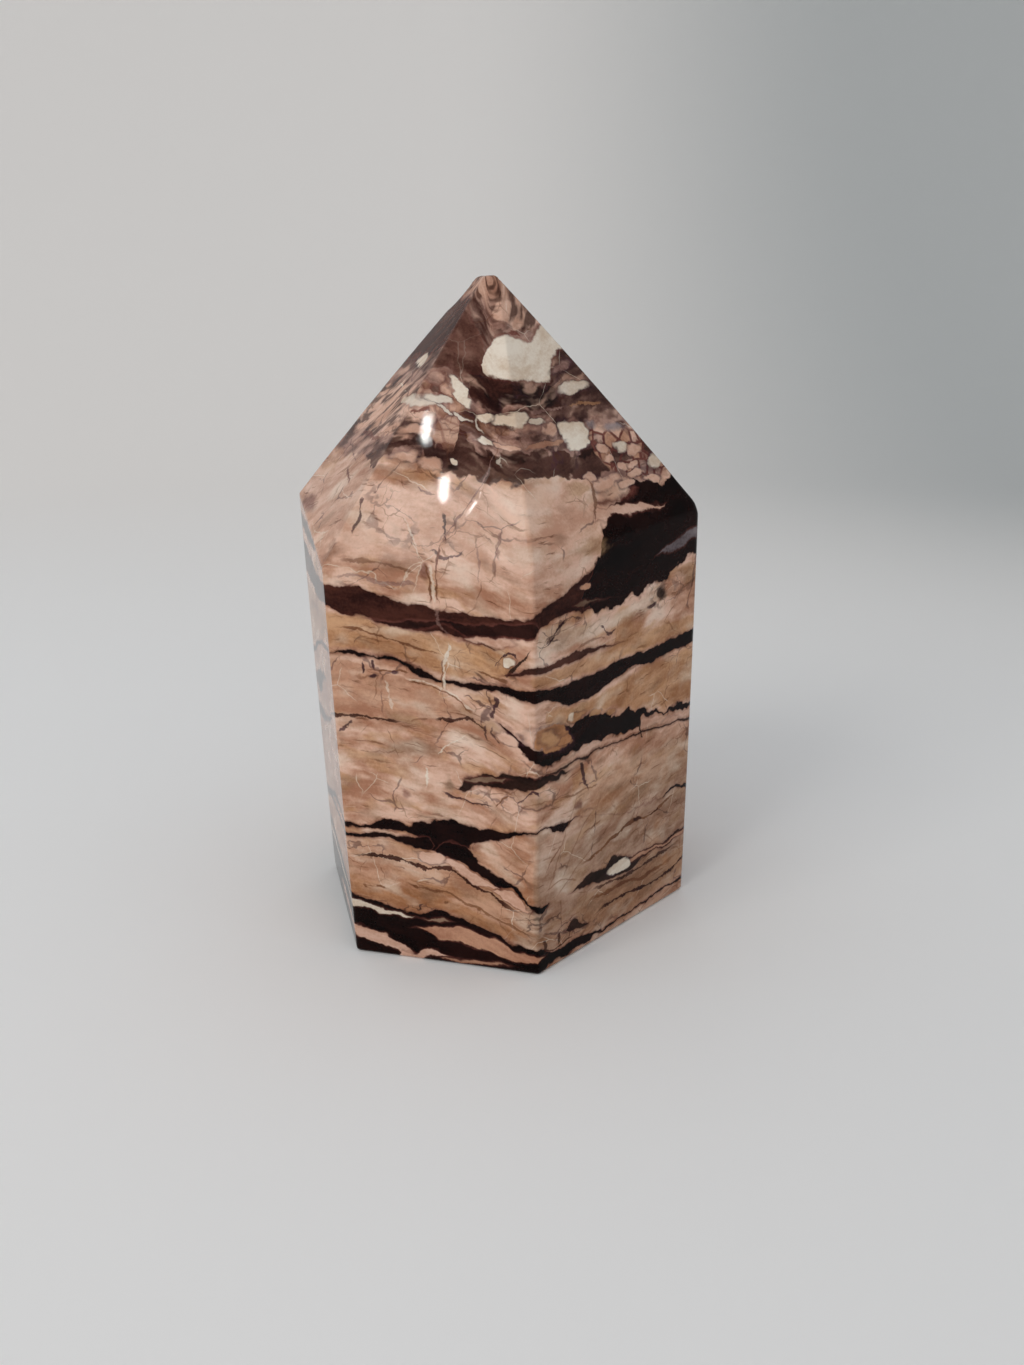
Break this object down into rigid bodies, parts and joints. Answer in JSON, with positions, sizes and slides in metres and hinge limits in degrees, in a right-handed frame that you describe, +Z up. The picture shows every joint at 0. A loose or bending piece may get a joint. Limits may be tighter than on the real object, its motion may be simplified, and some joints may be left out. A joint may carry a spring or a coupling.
{
  "type": "zebra jasper tower",
  "caption": "Polished hexagonal tower of brown and cream banded jasper, with a faceted point and a flat base to stand on.",
  "frame": {"origin": "middle of the flat base, under the centre of the tower's outline", "axes": "+Z up along the tower towards its point, -Y square to the widest side, which faces the viewer's left of centre in the picture"},
  "size_m": [0.058, 0.0516, 0.0912],
  "materials": {
    "jasper": "polished"
  },
  "bodies": {
    "root": {"tower": "jasper"}
  },
  "joints": []
}
